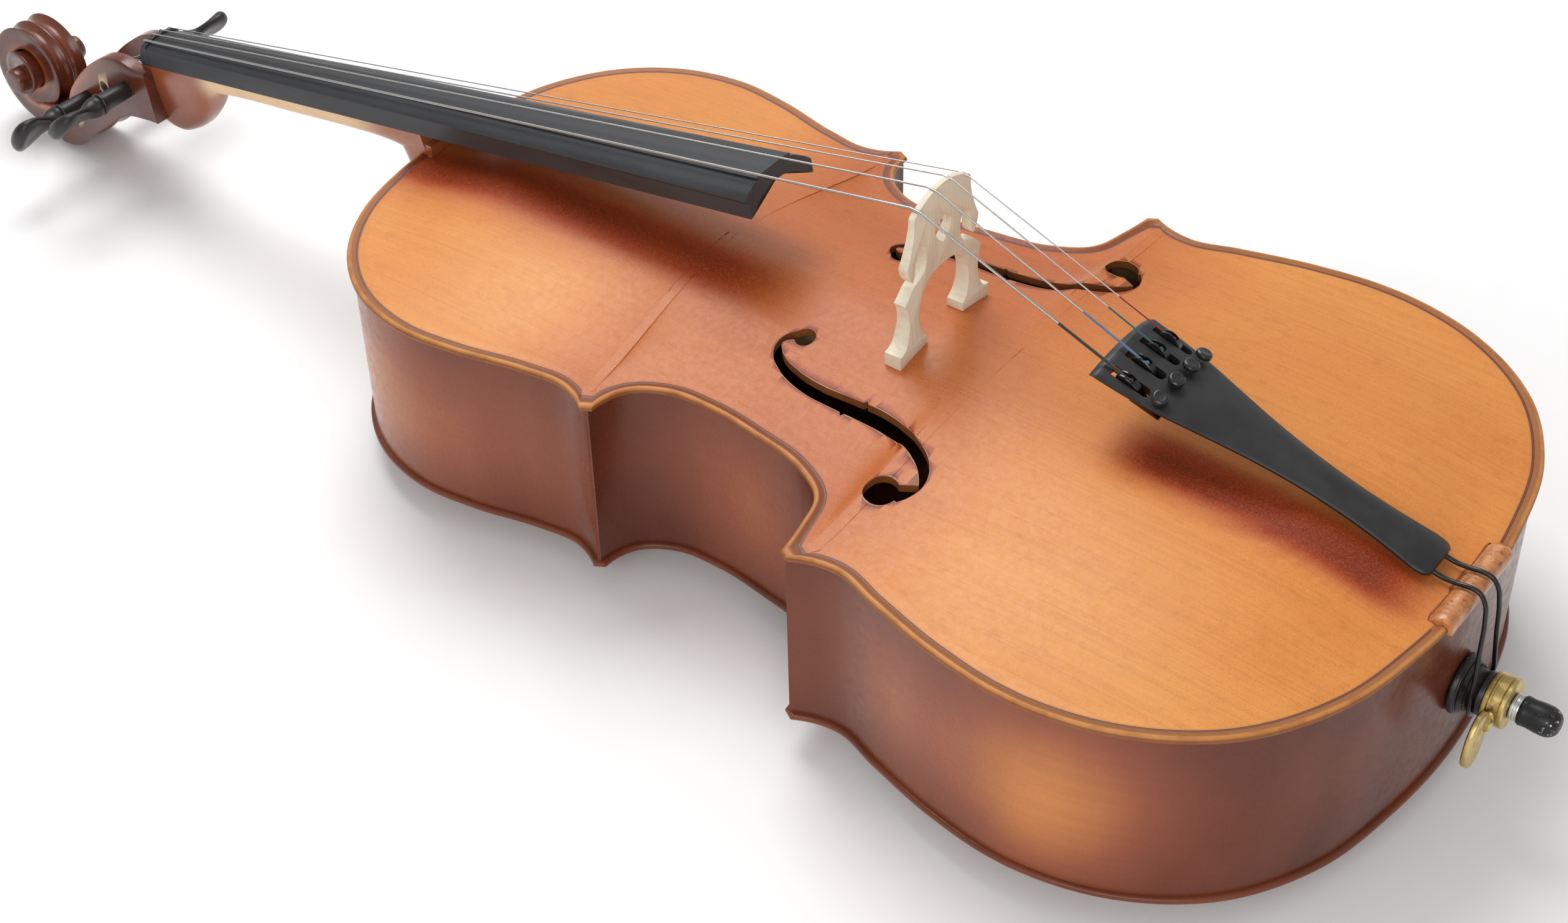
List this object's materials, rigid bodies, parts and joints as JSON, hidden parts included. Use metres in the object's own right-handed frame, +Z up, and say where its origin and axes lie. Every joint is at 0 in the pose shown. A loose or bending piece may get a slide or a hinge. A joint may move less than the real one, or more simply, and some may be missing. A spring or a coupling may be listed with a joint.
{
  "type": "cello",
  "caption": "Full-size cello on its back: arched sunburst body, f-holes, bridge, strings over a black fingerboard to a scroll, fine-tuner tailpiece and sliding endpin.",
  "frame": {"origin": "bottom centre of the bounding box: below the body's back, on the centre line, halfway between the scroll and the endpin's tip", "axes": "+X towards the treble side, +Y from the endpin to the scroll, +Z up from the back to the belly and strings"},
  "size_m": [0.431, 1.2826, 0.2732],
  "materials": {
    "belly_varnish": "satin reddish-brown sunburst varnish over lengthwise softwood grain",
    "back_varnish": "satin reddish-brown varnish over maple",
    "rib_varnish": "satin dark red-brown varnish with lighter patches",
    "neck_wood": "bare light maple at the grip, red-brown varnish at the heel and head",
    "purfling": "dark line",
    "raw_wood": "raw, unvarnished",
    "blackened_board": "matte blackened hardwood",
    "saddle_wood": "worn, stained tan",
    "bridge_maple": "pale, unvarnished",
    "peg_wood": "satin blackened hardwood",
    "string_wire": "flat-wound wire",
    "tailpiece_plastic": "matte black",
    "tuner_black": "glossy black",
    "knob_black": "black, glossy rim",
    "steel": "plain steel",
    "cord_black": "smooth black cord",
    "collar_black": "black stained, worn at the edges",
    "brass": "turned, scratched brass",
    "zinc": "zinc-plated",
    "tip_rubber": "black rubber with worn specks"
  },
  "bodies": {
    "body": {"belly": "belly_varnish", "belly_purfling": "purfling", "back_plate": "back_varnish", "back_purfling": "purfling", "bass_bar": "raw_wood", "sound_post": "raw_wood", "rib_upper_bass": "rib_varnish", "rib_upper_treble": "rib_varnish", "rib_waist_bass": "rib_varnish", "rib_waist_treble": "rib_varnish", "rib_lower_bass": "rib_varnish", "rib_lower_treble": "rib_varnish", "belly_linings": "raw_wood", "back_linings": "raw_wood", "top_block": "raw_wood", "bottom_block": "raw_wood", "corner_blocks": "raw_wood", "neck": "neck_wood", "fingerboard": "blackened_board", "nut": "blackened_board", "saddle": "saddle_wood", "bridge": "bridge_maple", "string_c": "string_wire", "string_g": "string_wire", "string_d": "string_wire", "string_a": "string_wire", "tailpiece": "tailpiece_plastic", "tuner_pins": "steel", "tail_cord": "cord_black", "endpin_collar": "collar_black", "endpin_ring": "brass"},
    "peg_c": {"peg_c": "peg_wood", "winding_c": "string_wire"},
    "peg_g": {"peg_g": "peg_wood", "winding_g": "string_wire"},
    "peg_d": {"peg_d": "peg_wood", "winding_d": "string_wire"},
    "peg_a": {"peg_a": "peg_wood", "winding_a": "string_wire"},
    "tuner_screw_c": {"tuner_screw_c": "steel"},
    "tuner_knob_c": {"tuner_knob_c": "knob_black"},
    "tuner_lever_c": {"tuner_lever_c": "tuner_black"},
    "tuner_screw_g": {"tuner_screw_g": "steel"},
    "tuner_knob_g": {"tuner_knob_g": "knob_black"},
    "tuner_lever_g": {"tuner_lever_g": "tuner_black"},
    "tuner_screw_d": {"tuner_screw_d": "steel"},
    "tuner_knob_d": {"tuner_knob_d": "knob_black"},
    "tuner_lever_d": {"tuner_lever_d": "tuner_black"},
    "tuner_screw_a": {"tuner_screw_a": "steel"},
    "tuner_knob_a": {"tuner_knob_a": "knob_black"},
    "tuner_lever_a": {"tuner_lever_a": "tuner_black"},
    "endpin": {"endpin_rod": "steel", "endpin_sleeve": "zinc", "endpin_tip": "tip_rubber"},
    "clamp_screw": {"endpin_clamp_screw": "brass"},
    "clamp_wing": {"endpin_wing": "brass"}
  },
  "joints": [
    {"name": "peg_c_turn", "type": "hinge", "parent": "body", "child": "peg_c", "pos_m": [-0.04, 0.47171, 0.09], "axis": [-1, 0, 0], "continuous": true},
    {"name": "peg_g_turn", "type": "hinge", "parent": "body", "child": "peg_g", "pos_m": [-0.04, 0.52331, 0.062], "axis": [-1, 0, 0], "continuous": true},
    {"name": "peg_d_turn", "type": "hinge", "parent": "body", "child": "peg_d", "pos_m": [0.04, 0.54471, 0.039], "axis": [1, 0, 0], "continuous": true},
    {"name": "peg_a_turn", "type": "hinge", "parent": "body", "child": "peg_a", "pos_m": [0.04, 0.49911, 0.0808], "axis": [1, 0, 0], "continuous": true},
    {"name": "tuner_screw_c_slide", "type": "slide", "parent": "body", "child": "tuner_screw_c", "axis": [-0.2696, -0.2541, 0.9288], "range_m": [-0.0015, 0.0015]},
    {"name": "tuner_knob_c_turn", "type": "hinge", "parent": "tuner_screw_c", "child": "tuner_knob_c", "pos_m": [-0.02358, -0.39444, 0.20862], "axis": [-0.2696, -0.2541, 0.9288], "range_deg": [-722, 722]},
    {"name": "tuner_lever_c_rock", "type": "hinge", "parent": "body", "child": "tuner_lever_c", "pos_m": [-0.02088, -0.37801, 0.20313], "axis": [0.963, -0.0711, 0.2601], "range_deg": [-6.2, 6.2], "deforming": ["string_c"]},
    {"name": "tuner_screw_g_slide", "type": "slide", "parent": "body", "child": "tuner_screw_g", "axis": [-0.0929, -0.2627, 0.9604], "range_m": [-0.0015, 0.0015]},
    {"name": "tuner_knob_g_turn", "type": "hinge", "parent": "tuner_screw_g", "child": "tuner_knob_g", "pos_m": [-0.00787, -0.39521, 0.21144], "axis": [-0.0929, -0.2627, 0.9604], "range_deg": [-722, 722]},
    {"name": "tuner_lever_g_rock", "type": "hinge", "parent": "body", "child": "tuner_lever_g", "pos_m": [-0.00694, -0.3787, 0.20564], "axis": [0.9957, -0.0245, 0.0896], "range_deg": [-6.2, 6.2], "deforming": ["string_g"]},
    {"name": "tuner_screw_d_slide", "type": "slide", "parent": "body", "child": "tuner_screw_d", "axis": [0.0929, -0.2627, 0.9604], "range_m": [-0.0015, 0.0015]},
    {"name": "tuner_knob_d_turn", "type": "hinge", "parent": "tuner_screw_d", "child": "tuner_knob_d", "pos_m": [0.00787, -0.39521, 0.21144], "axis": [0.0929, -0.2627, 0.9604], "range_deg": [-722, 722]},
    {"name": "tuner_lever_d_rock", "type": "hinge", "parent": "body", "child": "tuner_lever_d", "pos_m": [0.00694, -0.3787, 0.20564], "axis": [0.9957, 0.0245, -0.0896], "range_deg": [-6.2, 6.2], "deforming": ["string_d"]},
    {"name": "tuner_screw_a_slide", "type": "slide", "parent": "body", "child": "tuner_screw_a", "axis": [0.2696, -0.2541, 0.9288], "range_m": [-0.0015, 0.0015]},
    {"name": "tuner_knob_a_turn", "type": "hinge", "parent": "tuner_screw_a", "child": "tuner_knob_a", "pos_m": [0.02358, -0.39444, 0.20862], "axis": [0.2696, -0.2541, 0.9288], "range_deg": [-722, 722]},
    {"name": "tuner_lever_a_rock", "type": "hinge", "parent": "body", "child": "tuner_lever_a", "pos_m": [0.02088, -0.37801, 0.20313], "axis": [0.963, 0.0711, -0.2601], "range_deg": [-6.2, 6.2], "deforming": ["string_a"]},
    {"name": "endpin_slide", "type": "slide", "parent": "body", "child": "endpin", "axis": [0, -1, 0], "range_m": [0, 0.35]},
    {"name": "clamp_screw_slide", "type": "slide", "parent": "body", "child": "clamp_screw", "axis": [-1, 0, 0], "range_m": [0, 0.00202]},
    {"name": "clamp_wing_turn", "type": "hinge", "parent": "clamp_screw", "child": "clamp_wing", "pos_m": [-0.02, -0.60628, 0.081], "axis": [-1, 0, 0], "range_deg": [0, 720]}
  ],
  "couplings": [
    {"joint": "tuner_knob_c_turn", "follows": "tuner_screw_c_slide", "rad_per_m": 8377.6},
    {"joint": "tuner_lever_c_rock", "follows": "tuner_screw_c_slide", "rad_per_m": -69.444},
    {"joint": "tuner_knob_g_turn", "follows": "tuner_screw_g_slide", "rad_per_m": 8377.6},
    {"joint": "tuner_lever_g_rock", "follows": "tuner_screw_g_slide", "rad_per_m": -69.444},
    {"joint": "tuner_knob_d_turn", "follows": "tuner_screw_d_slide", "rad_per_m": 8377.6},
    {"joint": "tuner_lever_d_rock", "follows": "tuner_screw_d_slide", "rad_per_m": -69.444},
    {"joint": "tuner_knob_a_turn", "follows": "tuner_screw_a_slide", "rad_per_m": 8377.6},
    {"joint": "tuner_lever_a_rock", "follows": "tuner_screw_a_slide", "rad_per_m": -69.444},
    {"joint": "clamp_screw_slide", "follows": "clamp_wing_turn", "m_per_rad": 0.00015915}
  ]
}
